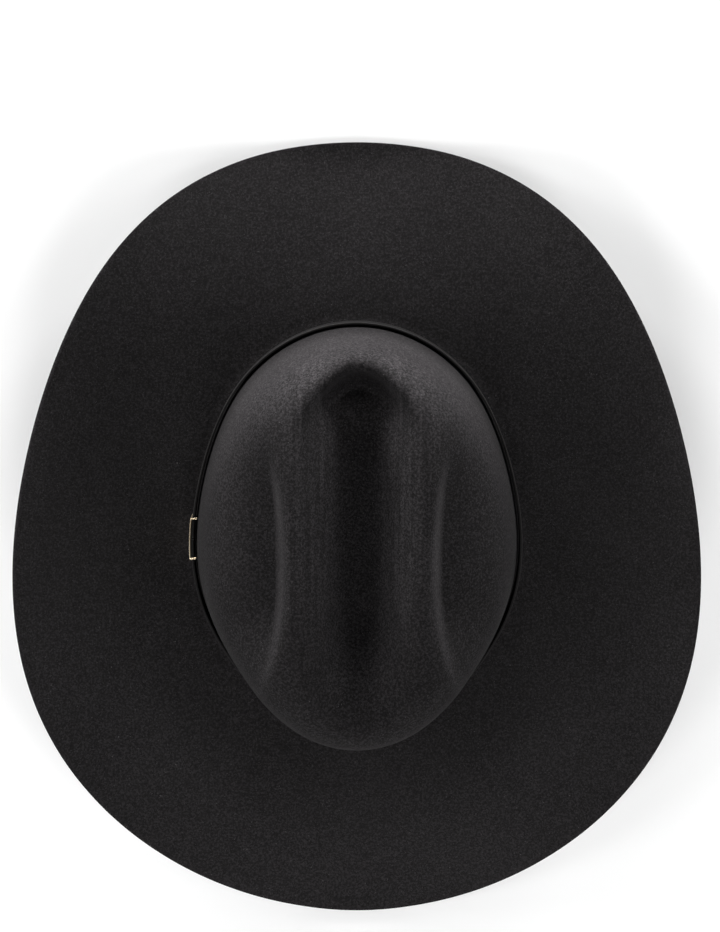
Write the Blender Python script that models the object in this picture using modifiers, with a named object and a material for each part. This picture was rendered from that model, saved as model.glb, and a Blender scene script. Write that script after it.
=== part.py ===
"""Western hat in black felt with a cattleman crown, as separate pieces in one assembly.

Metres, +Z up.  -Y is the front of the hat, +Y the back, +X the wearer's left.
The origin is under the middle of the hat, on the surface that the brim's two dips rest on.
"""
import math

import bmesh
import bpy
from mathutils import Matrix, Vector

TITLE = "cowboy_hat"
GAP = 0.0003                 # space left between pieces that touch

# Felt, measured on its inner side
FELT = 0.0025                # thickness
BRIM_LENGTH = 0.422          # edge to edge, front to back
BRIM_WIDTH = 0.3625          # twice the half width at the middle of the length
BRIM_TAPER = -0.088          # the outline narrows towards the back ...
BRIM_FULLNESS = 0.083        # ... stays full at both ends ...
BRIM_SHOULDER = 0.145        # ... and is squared off at the back corners
BREAK_Z = 0.022              # height of the break, where the crown meets the brim
BRIM_DIP = 0.026             # how far the front and back ends press down
BRIM_ROLL = 0.033            # how far the side edges are rolled up
ROLL_SPAN = 1.7              # how soon the roll starts, going round from front or back
ROLL_CURL = 2.3              # how late the side curls up, going out from the break
DIP_CURVE = 1.4
BREAK_RADIUS = 0.0045        # bend between the crown and the brim, on the inner side

# Head opening and crown
OVAL_A = 0.0835              # half width of the felt's inner side at the break
OVAL_B = 0.1060              # half length
OVAL_EGG = 0.005             # wider at the back of the head
OVAL_FRONT = 0.085           # how much fuller its front half is, between the side and the tip
OVAL_Y = 0.0070              # the head opening sits a little behind the brim's middle
CROWN_HEIGHT = 0.115         # break to the top of the blocked crown, inner side
CROWN_SLOPE = 0.035          # the crown's top falls towards the front
CROWN_BOX = 3.4              # how square the shoulder between wall and top is ...
CROWN_BOX_FRONT = 6.0        # ... and squarer at the front ...
CROWN_BOX_BACK = 6.0         # ... and the back
WALL_HEIGHT = CROWN_HEIGHT - BREAK_RADIUS
TAPER_SIDE = 0.13            # how much the crown narrows to the top
TAPER_FRONT = 0.0
TAPER_BACK = 0.065

# Creases
CREASE_X = 0.0013            # the creases lie a little to the wearer's left
CREASE_DEPTH = 0.035
CREASE_HALF = 0.035          # half width of the middle crease at its mouth
CREASE_FRONT = -0.103
CREASE_RUN_OUT = 0.085       # length over which it fades at the front
CREASE_BACK = 0.109
CREASE_LIP = 0.019           # length of its steep lip at the back ...
CREASE_ARC = 26.0            # ... whose edge curves forwards at both sides
DENT_DEPTH = 0.021
DENT_X = 0.0435              # deepest line of the side dents ...
DENT_MIDDLE = -0.004         # ... which is nearest the middle here ...
DENT_BOW_FRONT = 0.011       # ... and curves outwards to the front ...
DENT_BOW_BACK = 0.0044       # ... and less to the back
DENT_INNER = 0.0105          # width of the steep side towards the ridge
DENT_OUTER = 0.037           # width of the gentle side towards the wall
DENT_FRONT = -0.080
DENT_BACK = 0.078
DENT_WALL = 0.30             # how much of a dent is pressed into the wall

# Hat band and its metal clip, on the outside
BAND_Z = 0.0265              # the band's lower edge
BAND_HEIGHT = 0.014
BAND = 0.0013                # thickness
BAND_IN = FELT + 0.0005      # its inner face, out from the inner side of the felt's wall
CLIP_ANGLE = math.radians(182.5)   # on the wearer's right, a little ahead of the middle
CLIP_LENGTH = 0.0215
CLIP = 0.0005                # metal thickness
CLIP_TAB = 0.0010            # width of the tabs folded over the band at the clip's two ends
CLIP_LIP = 0.0018            # how far the upper tabs reach down behind the band
CLIP_STATIONS = 9            # across the clip's front, between the tabs

# Inside, as distances inwards from the felt
LINING = 0.0004
LINING_IN = 0.0008
LINING_EASE = 0.0007         # further in, above the sweatband
PIPING_RADIUS = 0.0008
SWEATBAND = 0.0010
SWEATBAND_IN = 0.0016
SWEATBAND_HEIGHT = 0.036
SWEATBAND_Z = BREAK_Z + 0.001
SWEATBAND_FACE = SWEATBAND_IN + SWEATBAND    # its inner face
TAPE = 0.0004
REED_RADIUS = 0.0008

# Resolution
ROUND = 72                   # points round the head
BRIM_STEPS = (1.0, 0.94, 0.8, 0.62, 0.44, 0.26, 0.1)
CROWN_RINGS = 20
TIP_RING = 11                # ring of the crown where the lining's side meets its tip


def smooth(value, low, high):
    """0 below low, 1 above high, and a smooth step between them."""
    part = min(max((value - low) / (high - low), 0.0), 1.0)
    return part * part * (3.0 - 2.0 * part)


def bell(value):
    """1 in the middle, 0 from -1 and 1 outwards."""
    return (1.0 - value * value) ** 2 if abs(value) < 1.0 else 0.0


def oval(phi, outset=0.0):
    """The head opening at an angle, moved out by outset, as x and y."""
    along = math.sin(phi)
    fuller = OVAL_FRONT * along * (1.0 - along ** 2) * (1.0 - 2.0 * along ** 2)
    x = (OVAL_A + outset) * math.cos(phi) * (1.0 + OVAL_EGG * along - fuller)
    y = (OVAL_B + outset) * along + OVAL_Y
    return x, y


def brim_edge(phi):
    """The brim's outline at an angle, as x and y."""
    along = math.sin(phi)
    full = 1.0 + BRIM_TAPER * along + BRIM_FULLNESS * along ** 2 + BRIM_SHOULDER * along ** 3
    return BRIM_WIDTH / 2 * math.cos(phi) * full, BRIM_LENGTH / 2 * along


def brim_point(phi, step):
    """A point of the brim's underside: step is 0 at the break and 1 at the edge."""
    near_x, near_y = oval(phi, BREAK_RADIUS)
    far_x, far_y = brim_edge(phi)
    side = abs(math.cos(phi)) ** ROLL_SPAN
    lift = (BRIM_ROLL + BRIM_DIP) * side - BRIM_DIP
    curve = DIP_CURVE + (ROLL_CURL - DIP_CURVE) * side
    x = near_x + (far_x - near_x) * step
    y = near_y + (far_y - near_y) * step
    return Vector((x, y, max(BREAK_Z + lift * step ** curve, 0.0)))


def break_point(phi, turn):
    """A point of the bend at the break: turn is 0 on the brim and 90 degrees on the wall."""
    x, y = oval(phi, BREAK_RADIUS * (1.0 - math.sin(turn)))
    return Vector((x, y, BREAK_Z + BREAK_RADIUS * (1.0 - math.cos(turn))))


def crown_box(phi):
    """How square the crown's profile is at an angle."""
    end = CROWN_BOX_BACK if math.sin(phi) > 0 else CROWN_BOX_FRONT
    return CROWN_BOX + (end - CROWN_BOX) * math.sin(phi) ** 2


def blocked(phi, out, up, outset=0.0):
    """A point of the crown as blocked: out is 1 on the wall, up is 1 at the top."""
    end = TAPER_BACK if math.sin(phi) > 0 else TAPER_FRONT
    taper = TAPER_SIDE * math.cos(phi) ** 2 + end * math.sin(phi) ** 2
    x, y = oval(phi, outset)
    shrink = out * (1.0 - taper * up)
    x, y = x * shrink, (y - OVAL_Y) * shrink + OVAL_Y
    return Vector((x, y, BREAK_Z + BREAK_RADIUS + (WALL_HEIGHT + CROWN_SLOPE * y) * up))


def middle_crease(x, y, up):
    """How deep the middle crease is pressed: full behind, and running out towards the front."""
    along = smooth(y, CREASE_FRONT, CREASE_FRONT + CREASE_RUN_OUT)
    off = x - CREASE_X
    end = CREASE_BACK - CREASE_ARC * off * off
    along *= 1.0 - smooth(y, end - CREASE_LIP, end)
    half = CREASE_HALF * (0.85 + 0.15 * smooth(y, -0.08, 0.06))
    return CREASE_DEPTH * along * bell(off / half) * smooth(up, 0.35, 0.85)


def side_dent(x, y, up):
    """How far a side dent is pressed: steep beside the ridge, gentle towards the wall."""
    along = smooth(y, DENT_FRONT, DENT_FRONT + 0.055) * (1.0 - smooth(y, DENT_BACK - 0.055, DENT_BACK))
    bow = DENT_BOW_BACK if y > DENT_MIDDLE else DENT_BOW_FRONT
    off = abs(x - CREASE_X) - DENT_X - bow * ((y - DENT_MIDDLE) / 0.06) ** 2
    across = bell(off / (DENT_OUTER if off > 0 else DENT_INNER))
    return DENT_DEPTH * along * across * smooth(up, 0.25, 0.85)


def creased(point, out, up):
    """Press the middle crease and the two side dents into the blocked crown."""
    x, y, z = point
    push = side_dent(x, y, up)
    wall = out * out
    inwards = DENT_WALL * push * wall * smooth(y, -0.070, -0.020)
    z -= middle_crease(x, y, up) + push * (1.0 - 0.4 * wall)
    return Vector((x - math.copysign(inwards, x), y + 0.25 * push * wall, z))


def crown_point(phi, lean):
    """A point of the crown's inner side: lean is 0 at the break and 90 degrees in the middle."""
    level, rise = math.cos(lean), math.sin(lean)
    box = crown_box(phi)
    reach = (level ** box + rise ** box) ** (-1.0 / box)
    out, up = reach * level, reach * rise
    return creased(blocked(phi, out, up), out, up)


def wall_point(phi, z, outset):
    """A point at height z beside the crown's wall, moved out by outset from its inner side."""
    up = max((z - BREAK_Z - BREAK_RADIUS) / (WALL_HEIGHT + CROWN_SLOPE * oval(phi)[1]), 0.0)
    box = crown_box(phi)
    point = blocked(phi, (1.0 - up ** box) ** (1.0 / box), up, outset)
    return Vector((point.x, point.y, z))


def inside_point(phi, lean, inset):
    """A point inside the crown, at a distance from its inner side."""
    nudge = 1e-4
    point = crown_point(phi, lean)
    round_it = crown_point(phi + nudge, lean) - crown_point(phi - nudge, lean)
    up_it = crown_point(phi, lean + nudge) - crown_point(phi, lean - nudge)
    return point - round_it.cross(up_it).normalized() * inset


def lining_point(phi, lean, inset=0.0):
    """A point of the lining's outer face; it stands further from the felt above the sweatband."""
    top = SWEATBAND_Z + SWEATBAND_HEIGHT
    ease = LINING_EASE * smooth(crown_point(phi, lean).z, top, top + 0.010)
    return inside_point(phi, lean, LINING_IN + ease + inset)


# ---- building blocks ----

def new_material(name, colour, roughness, metallic=0.0):
    """A plain Principled material."""
    material = bpy.data.materials.new(name)
    material.use_nodes = True
    shader = material.node_tree.nodes["Principled BSDF"]
    shader.inputs["Base Color"].default_value = (*colour, 1.0)
    shader.inputs["Roughness"].default_value = roughness
    shader.inputs["Metallic"].default_value = metallic
    return material


def add_object(name, data, material):
    """Link an object with its material into the hat's collection."""
    piece = bpy.data.objects.new(name, data)
    data.materials.append(material)
    bpy.data.collections[TITLE].objects.link(piece)
    return piece


def loft(name, rows, material, ring=True, apex=None, keep=None):
    """An open surface through rows of points; a ring joins the rows' ends, an apex closes them.

    keep says of each face, by its row and its place in the row, whether it is there.
    """
    shape = bmesh.new()
    lines = [[shape.verts.new(point) for point in row] for row in rows]
    count = len(lines[0])
    last = count if ring else count - 1
    for row, (below, above) in enumerate(zip(lines, lines[1:])):
        for i in range(last):
            j = (i + 1) % count
            if keep is None or keep(row, i):
                shape.faces.new((below[i], below[j], above[j], above[i]))
    if apex is not None:
        top = shape.verts.new(apex)
        for i in range(count):
            shape.faces.new((lines[-1][i], lines[-1][(i + 1) % count], top))
    loose = [vert for vert in shape.verts if not vert.link_faces]
    bmesh.ops.delete(shape, geom=loose, context="VERTS")
    mesh = bpy.data.meshes.new(name)
    shape.to_mesh(mesh)
    shape.free()
    mesh.shade_smooth()
    return add_object(name, mesh, material)


def thicken(piece, thickness, outward):
    """Give an open surface its thickness, to the side its faces look at or away from it."""
    solid = piece.modifiers.new("thickness", "SOLIDIFY")
    solid.thickness = thickness
    solid.offset = 1.0 if outward else -1.0
    solid.use_even_offset = True


def cord(name, points, radius, material):
    """A closed loop of cord through a ring of points."""
    curve = bpy.data.curves.new(name, "CURVE")
    curve.dimensions = "3D"
    curve.bevel_depth = radius
    curve.bevel_resolution = 2
    line = curve.splines.new("POLY")
    line.points.add(len(points) - 1)
    for place, point in zip(line.points, points):
        place.co = (*point, 1.0)
    line.use_cyclic_u = True
    return add_object(name, curve, material)


def angles(start=0.0, end=2.0 * math.pi, count=ROUND, closed=True):
    """Evenly spaced angles; a closed run leaves out the last, which meets the first."""
    steps = count if closed else count - 1
    return [start + (end - start) * i / steps for i in range(count)]


def strip(name, turns, heights, outset, thickness, material, ring=False):
    """A band that stands along the crown's wall; its thickness goes inwards from outset."""
    rows = [[wall_point(phi, z, outset) for phi in turns] for z in heights]
    piece = loft(name, rows, material, ring)
    thicken(piece, thickness, outward=False)
    return piece


# ---- the hat's pieces ----

def make_felt(material):
    """Crown and brim, blocked from one felt body."""
    turns = angles()
    leans = [math.pi / 2 * i / CROWN_RINGS for i in range(CROWN_RINGS)]
    rows = [[brim_point(phi, step) for phi in turns] for step in BRIM_STEPS]
    rows += [[break_point(phi, math.radians(turn)) for phi in turns] for turn in (0.0, 45.0)]
    rows += [[crown_point(phi, lean) for phi in turns] for lean in leans]
    felt = loft("felt_body", rows, material, apex=crown_point(0.0, math.pi / 2))
    thicken(felt, FELT, outward=True)


def make_hatband(material):
    """One strip round the crown, whose ends meet inside the clip."""
    outset = BAND_IN + BAND
    seam = GAP / OVAL_B
    turns = angles(CLIP_ANGLE + seam, CLIP_ANGLE + 2.0 * math.pi - seam, ROUND + 1, closed=False)
    heights = (BAND_Z, BAND_Z + BAND_HEIGHT)
    rows = [[Vector((*oval(phi, outset), z)) for phi in turns] for z in heights]
    band = loft("hatband", rows, material, ring=False)
    thicken(band, BAND, outward=False)


def clip_profile():
    """The clip's inner side: fold under the band, front, fold over the band, and lip behind it.

    Each pair is the distance out from the inner side of the felt's wall, and the height.
    """
    low, high = BAND_Z - GAP, BAND_Z + BAND_HEIGHT + GAP
    front = BAND_IN + BAND + GAP
    back = BAND_IN - 3 * GAP
    foot = BAND_IN + GAP
    return (foot, low), (front, low), (front, high), (back, high), (back, high - CLIP_LIP)


def clip_centre():
    """The middle of the clip's front, on the line that it slides along."""
    x, y = oval(CLIP_ANGLE, BAND_IN + BAND)
    return Vector((x, y, BAND_Z + BAND_HEIGHT / 2))


def make_clip(material):
    """The metal clip over the joint of the band: a plate held by folded tabs at both ends."""
    half = CLIP_LENGTH / 2 / OVAL_B
    tab = CLIP_TAB / OVAL_B
    first, last = CLIP_ANGLE - half, CLIP_ANGLE + half
    turns = [first, *angles(first + tab, last - tab, CLIP_STATIONS, closed=False), last]
    centre = clip_centre()
    rows = [[Vector((*oval(phi, out), z)) - centre for phi in turns] for out, z in clip_profile()]
    front, ends = 1, (0, CLIP_STATIONS)
    clip = loft("band_clip", rows, material, ring=False, keep=lambda row, i: row == front or i in ends)
    clip.location = centre
    thicken(clip, CLIP, outward=True)


def make_lining(material, piping_material):
    """Satin lining in two pieces, with a piping cord over their seam."""
    turns = angles()
    step = math.pi / 2 / CROWN_RINGS
    seam = math.radians(0.4)
    side_leans = [step * i for i in range(2, TIP_RING)] + [step * TIP_RING - seam]
    tip_leans = [step * TIP_RING + seam] + [step * i for i in range(TIP_RING + 1, CROWN_RINGS)]
    side = [[lining_point(phi, lean) for phi in turns] for lean in side_leans]
    thicken(loft("lining_side", side, material), LINING, outward=False)
    tip = [[lining_point(phi, lean) for phi in turns] for lean in tip_leans]
    middle = crown_point(0.0, math.pi / 2) - Vector((0.0, 0.0, LINING_IN + LINING_EASE))
    thicken(loft("lining_tip", tip, material, apex=middle), LINING, outward=False)
    piping_in = LINING + 1.5 * GAP + PIPING_RADIUS
    loop = [lining_point(phi, step * TIP_RING, piping_in) for phi in turns]
    cord("lining_piping", loop, PIPING_RADIUS, piping_material)


def make_sweatband(leather, plastic, ribbon):
    """Leather sweatband with its reed, the tape that sews it in, and the tape on its back seam."""
    seam = GAP / OVAL_A
    turns = angles(math.pi / 2 + seam, 2.5 * math.pi - seam, ROUND + 1, closed=False)
    heights = [SWEATBAND_Z + SWEATBAND_HEIGHT * part for part in (0.0, 0.33, 0.67, 1.0)]
    strip("sweatband", turns, heights, -SWEATBAND_IN, SWEATBAND, leather)
    middle = -SWEATBAND_IN - SWEATBAND / 2
    reed_z = SWEATBAND_Z - GAP - REED_RADIUS
    loop = [Vector((*oval(phi, middle), reed_z)) for phi in angles()]
    cord("sweatband_reed", loop, REED_RADIUS, plastic)
    tape_heights = (BREAK_Z + BREAK_RADIUS, BREAK_Z + BREAK_RADIUS + 0.008)
    strip("reed_tape", angles(), tape_heights, -GAP, TAPE, ribbon, ring=True)
    half = 0.0035 / OVAL_A
    turns = angles(math.pi / 2 - half, math.pi / 2 + half, 5, closed=False)
    heights = (SWEATBAND_Z + 0.002, SWEATBAND_Z + SWEATBAND_HEIGHT - 0.002)
    strip("sweatband_seam_tape", turns, heights, -SWEATBAND_FACE - GAP, TAPE, ribbon)


def make_bow(ribbon):
    """The small ribbon bow at the back of the sweatband."""
    half_width, knot, lobe, points = 0.008, 0.0012, 0.0032, 9
    upper = []
    for i in range(points):
        x = -half_width + 2.0 * half_width * i / (points - 1)
        upper.append((x, knot + (lobe - knot) * abs(x / half_width) ** 0.7))
    outline = upper + [(-x, -y) for x, y in upper]
    curve = bpy.data.curves.new("sweatband_bow", "CURVE")
    curve.dimensions = "2D"
    curve.fill_mode = "BOTH"
    curve.extrude = TAPE
    line = curve.splines.new("POLY")
    line.points.add(len(outline) - 1)
    for place, (x, y) in zip(line.points, outline):
        place.co = (x, y, 0.0, 1.0)
    line.use_cyclic_u = True
    bow = add_object("sweatband_bow", curve, ribbon)
    clear = SWEATBAND_FACE + 2 * GAP + 2 * TAPE + 0.0006    # the wall curves behind the bow
    bow.location = wall_point(math.pi / 2, SWEATBAND_Z + 0.009, -clear)
    bow.rotation_euler = (math.pi / 2, 0.0, 0.0)


def make_size_tag(material):
    """A blank size tag on the inner face of the sweatband, at the back."""
    turns = angles(math.radians(61), math.radians(72), 5, closed=False)
    heights = (SWEATBAND_Z + 0.010, SWEATBAND_Z + 0.022)
    strip("size_tag", turns, heights, -SWEATBAND_FACE - GAP, GAP, material)


def main():
    for piece in list(bpy.data.objects):
        bpy.data.objects.remove(piece)
    bpy.context.scene.collection.children.link(bpy.data.collections.new(TITLE))
    make_felt(new_material("black_felt", (0.012, 0.012, 0.013), 0.9))
    make_hatband(new_material("band_leather", (0.015, 0.014, 0.014), 0.55))
    make_clip(new_material("gold_metal", (0.80, 0.60, 0.36), 0.22, metallic=1.0))
    satin = new_material("lining_satin", (0.30, 0.29, 0.28), 0.35)
    make_lining(satin, new_material("piping_cord", (0.02, 0.02, 0.02), 0.6))
    make_sweatband(
        new_material("sweatband_leather", (0.26, 0.13, 0.06), 0.5),
        new_material("reed_plastic", (0.7, 0.7, 0.68), 0.4),
        new_material("ribbon", (0.02, 0.02, 0.02), 0.6),
    )
    make_bow(new_material("bow_ribbon", (0.02, 0.02, 0.02), 0.5))
    make_size_tag(new_material("tag_paper", (0.8, 0.78, 0.72), 0.7))


if __name__ == "__main__":
    main()
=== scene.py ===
"""Looks of the black felt cowboy hat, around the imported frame.  Metres, +Z up, -Y is the front."""
import math

import bmesh
import bpy
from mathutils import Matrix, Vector


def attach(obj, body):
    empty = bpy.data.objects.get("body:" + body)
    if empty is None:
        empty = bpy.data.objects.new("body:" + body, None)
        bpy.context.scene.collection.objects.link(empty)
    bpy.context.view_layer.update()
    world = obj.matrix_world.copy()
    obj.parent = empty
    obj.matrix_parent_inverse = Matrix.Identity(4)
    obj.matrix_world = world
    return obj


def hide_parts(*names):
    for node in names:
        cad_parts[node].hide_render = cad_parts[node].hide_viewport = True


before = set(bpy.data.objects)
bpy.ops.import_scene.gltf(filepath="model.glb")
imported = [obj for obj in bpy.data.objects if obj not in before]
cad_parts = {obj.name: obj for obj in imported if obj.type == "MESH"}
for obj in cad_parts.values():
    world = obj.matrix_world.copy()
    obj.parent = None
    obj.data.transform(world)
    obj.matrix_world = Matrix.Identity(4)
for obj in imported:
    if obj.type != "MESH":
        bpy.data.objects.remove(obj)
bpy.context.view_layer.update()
HAT, CLIP_BODY = "hat", "clip"

# ---- shape: the CAD's design values, but for the middle crease's two ends and the clip's metal ----

# Felt, measured on its inner side
FELT = 0.0025                # thickness
BRIM_LENGTH = 0.422          # edge to edge, front to back
BRIM_WIDTH = 0.3625          # twice the half width at the middle of the length
BRIM_TAPER = -0.088          # the outline narrows towards the back ...
BRIM_FULLNESS = 0.083        # ... stays full at both ends ...
BRIM_SHOULDER = 0.145        # ... and is squared off at the back corners
BREAK_Z = 0.022              # height of the break, where the crown meets the brim
BRIM_DIP = 0.026             # how far the front and back ends press down
BRIM_ROLL = 0.033            # how far the side edges are rolled up
ROLL_SPAN = 1.7              # how soon the roll starts, going round from front or back
ROLL_CURL = 2.3              # how late the side curls up, going out from the break
DIP_CURVE = 1.4
REST_EASE = 0.003            # how softly the dips flatten out where they touch the table
BREAK_RADIUS = 0.0045        # bend between the crown and the brim, on the inner side

# Head opening and crown
OVAL_A = 0.0835              # half width of the felt's inner side at the break
OVAL_B = 0.1060              # half length
OVAL_EGG = 0.005             # wider at the back of the head
OVAL_FRONT = 0.085           # how much fuller its front half is, between the side and the tip
OVAL_Y = 0.0070              # the head opening sits a little behind the brim's middle
CROWN_HEIGHT = 0.115         # break to the top of the blocked crown, inner side
CROWN_SLOPE = 0.035          # the crown's top falls towards the front
CROWN_BOX = 3.4              # how square the shoulder between wall and top is ...
CROWN_BOX_FRONT = 6.0        # ... and squarer at the front ...
CROWN_BOX_BACK = 6.0         # ... and the back
WALL_HEIGHT = CROWN_HEIGHT - BREAK_RADIUS
TAPER_SIDE = 0.13            # how much the crown narrows to the top
TAPER_FRONT = 0.0
TAPER_BACK = 0.065

# Creases
CREASE_X = 0.0013            # the creases lie a little to the wearer's left
CREASE_DEPTH = 0.035
CREASE_HALF = 0.035          # half width of the middle crease at its mouth
CREASE_FRONT = -0.103
CREASE_RUN_OUT = 0.076       # length over which it fades at the front
CREASE_BACK = 0.1045
CREASE_LIP = 0.019           # length of its steep lip at the back ...
CREASE_CREST = 0.40          # ... of which this share is the rounded crest ...
CREASE_ARC = 26.0            # ... whose edge curves forwards at both sides
CREASE_POCKET = 0.5          # how much fuller its section gets just before the lip
DENT_DEPTH = 0.021
DENT_X = 0.0435              # deepest line of the side dents ...
DENT_MIDDLE = -0.004         # ... which is nearest the middle here ...
DENT_BOW = 0.06              # ... and this far along it ...
DENT_BOW_FRONT = 0.011       # ... has curved outwards by this much to the front ...
DENT_BOW_BACK = 0.0044       # ... and this much to the back
DENT_INNER = 0.0105          # width of the steep side towards the ridge
DENT_OUTER = 0.037           # width of the gentle side towards the wall
DENT_FRONT = -0.080
DENT_BACK = 0.078
DENT_FADE = 0.055            # length over which it fades at both ends
DENT_WALL = 0.30             # how much of a dent is pressed into the wall

# Hat band and its metal clip, on the outside
GAP = 0.0003                 # space left between pieces that touch
BAND_Z = 0.0265              # the band's lower edge
BAND_HEIGHT = 0.014
BAND_TOP = BAND_Z + BAND_HEIGHT
BAND = 0.0013                # thickness
BAND_IN = FELT + 0.0005      # its inner face, out from the inner side of the felt's wall
BAND_OUT = BAND_IN + BAND    # its outer face
CLIP_ANGLE = math.radians(182.5)   # on the wearer's right, a little ahead of the middle
CLIP_Y = 0.0022              # where its middle lies from front to back
CLIP_LENGTH = 0.0215
CLIP_CAD = 0.0005            # the CAD's metal thickness, which sets how far the tabs reach in
CLIP = 0.0008                # metal thickness
CLIP_TAB = 0.0007            # width of the tabs folded over the band at the clip's two ends
CLIP_LIP = 0.0018            # how far the upper tabs reach down behind the band
CLIP_STATIONS = 25           # across the clip's front, between the tabs

# Inside, as distances inwards from the felt
LINING = 0.0004
LINING_IN = 0.0008
LINING_EASE = 0.0007         # further in, above the sweatband
PIPING_RADIUS = 0.0008
SWEATBAND = 0.0010
SWEATBAND_IN = 0.0016
SWEATBAND_HEIGHT = 0.036
SWEATBAND_Z = BREAK_Z + 0.001
SWEATBAND_TOP = SWEATBAND_Z + SWEATBAND_HEIGHT
SWEATBAND_FACE = SWEATBAND_IN + SWEATBAND    # its inner face
TAPE = 0.0004
REED_RADIUS = 0.0008

# Fineness of the meshes
BRIM_RINGS = 46
BREAK_TURNS = (0.0, 18.0, 36.0, 54.0, 72.0)
CROWN_RINGS = 150
CROWN_STEPS = 20             # steps of the lining, of which its seam lies on TIP_STEP
TIP_STEP = 11


def smooth(value, low, high):
    """0 below low, 1 above high, and a smooth step between them."""
    part = min(max((value - low) / (high - low), 0.0), 1.0)
    return part * part * (3.0 - 2.0 * part)


def bell(value):
    """1 in the middle, 0 from -1 and 1 outwards."""
    return (1.0 - value * value) ** 2 if abs(value) < 1.0 else 0.0


def oval(phi, outset=0.0):
    """The head opening at an angle, moved out by outset, as x and y."""
    along = math.sin(phi)
    fuller = OVAL_FRONT * along * (1.0 - along ** 2) * (1.0 - 2.0 * along ** 2)
    x = (OVAL_A + outset) * math.cos(phi) * (1.0 + OVAL_EGG * along - fuller)
    y = (OVAL_B + outset) * along + OVAL_Y
    return x, y


def brim_edge(phi):
    """The brim's outline at an angle, as x and y."""
    along = math.sin(phi)
    full = 1.0 + BRIM_TAPER * along + BRIM_FULLNESS * along ** 2 + BRIM_SHOULDER * along ** 3
    return BRIM_WIDTH / 2 * math.cos(phi) * full, BRIM_LENGTH / 2 * along


def brim_point(phi, step):
    """A point of the brim's underside: step is 0 at the break and 1 at the edge."""
    near_x, near_y = oval(phi, BREAK_RADIUS)
    far_x, far_y = brim_edge(phi)
    side = abs(math.cos(phi)) ** ROLL_SPAN
    lift = (BRIM_ROLL + BRIM_DIP) * side - BRIM_DIP
    curve = DIP_CURVE + (ROLL_CURL - DIP_CURVE) * side
    x = near_x + (far_x - near_x) * step
    y = near_y + (far_y - near_y) * step
    z = BREAK_Z + lift * step ** curve
    return Vector((x, y, (z + math.hypot(z, REST_EASE)) / 2 - REST_EASE / 6))


def break_point(phi, turn):
    """A point of the bend at the break: turn is 0 on the brim and 90 degrees on the wall."""
    x, y = oval(phi, BREAK_RADIUS * (1.0 - math.sin(turn)))
    return Vector((x, y, BREAK_Z + BREAK_RADIUS * (1.0 - math.cos(turn))))


def crown_box(phi):
    """How square the crown's profile is at an angle."""
    end = CROWN_BOX_BACK if math.sin(phi) > 0 else CROWN_BOX_FRONT
    return CROWN_BOX + (end - CROWN_BOX) * math.sin(phi) ** 2


def blocked(phi, out, up, outset=0.0):
    """A point of the crown as blocked: out is 1 on the wall, up is 1 at the top."""
    end = TAPER_BACK if math.sin(phi) > 0 else TAPER_FRONT
    taper = TAPER_SIDE * math.cos(phi) ** 2 + end * math.sin(phi) ** 2
    x, y = oval(phi, outset)
    shrink = out * (1.0 - taper * up)
    x, y = x * shrink, (y - OVAL_Y) * shrink + OVAL_Y
    return Vector((x, y, BREAK_Z + BREAK_RADIUS + (WALL_HEIGHT + CROWN_SLOPE * y) * up))


def middle_crease(x, y, up):
    """How deep the middle crease is pressed: full behind, and running out towards the front."""
    along = smooth(y, CREASE_FRONT, CREASE_FRONT + CREASE_RUN_OUT)
    off = x - CREASE_X
    end = CREASE_BACK - CREASE_ARC * off * off
    down = min(max((end - y) / CREASE_LIP, 0.0), 1.0)
    along *= down * (2.0 - down) * (0.15 + 0.85 * smooth(down, 0.0, CREASE_CREST))
    half = CREASE_HALF * (0.85 + 0.15 * smooth(y, -0.08, 0.06))
    across = 1.0 - (1.0 - bell(off / half)) ** (1.1 + CREASE_POCKET * smooth(y, 0.055, 0.085))
    return CREASE_DEPTH * along * across * smooth(up, 0.35, 0.85)


def side_dent(x, y, up):
    """How far a side dent is pressed: steep beside the ridge, gentle towards the wall."""
    along = smooth(y, DENT_FRONT, DENT_FRONT + DENT_FADE)
    along *= 1.0 - smooth(y, DENT_BACK - DENT_FADE, DENT_BACK)
    bow = DENT_BOW_BACK if y > DENT_MIDDLE else DENT_BOW_FRONT
    off = abs(x - CREASE_X) - DENT_X - bow * ((y - DENT_MIDDLE) / DENT_BOW) ** 2
    across = bell(off / (DENT_OUTER if off > 0 else DENT_INNER))
    return DENT_DEPTH * along * across * smooth(up, 0.25, 0.85)


def creased(point, out, up):
    """Press the middle crease and the two side dents into the blocked crown."""
    x, y, z = point
    push = side_dent(x, y, up)
    wall = out * out
    inwards = DENT_WALL * push * wall * smooth(y, -0.070, -0.020)
    z -= middle_crease(x, y, up) + push * (1.0 - 0.4 * wall)
    return Vector((x - math.copysign(inwards, x), y + 0.25 * push * wall, z))


def crown_point(phi, lean):
    """A point of the crown's inner side: lean is 0 at the break and 90 degrees in the middle."""
    level, rise = math.cos(lean), math.sin(lean)
    box = crown_box(phi)
    reach = (level ** box + rise ** box) ** (-1.0 / box)
    out, up = reach * level, reach * rise
    return creased(blocked(phi, out, up), out, up)


def wall_point(phi, z, outset):
    """A point at height z beside the crown's wall, moved out by outset from its inner side."""
    up = max((z - BREAK_Z - BREAK_RADIUS) / (WALL_HEIGHT + CROWN_SLOPE * oval(phi)[1]), 0.0)
    box = crown_box(phi)
    point = blocked(phi, (1.0 - up ** box) ** (1.0 / box), up, outset)
    return Vector((point.x, point.y, z))


def inside_point(phi, lean, inset):
    """A point inside the crown, at a distance from its inner side."""
    nudge = 1e-4
    point = crown_point(phi, lean)
    round_it = crown_point(phi + nudge, lean) - crown_point(phi - nudge, lean)
    up_it = crown_point(phi, lean + nudge) - crown_point(phi, lean - nudge)
    return point - round_it.cross(up_it).normalized() * inset


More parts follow.
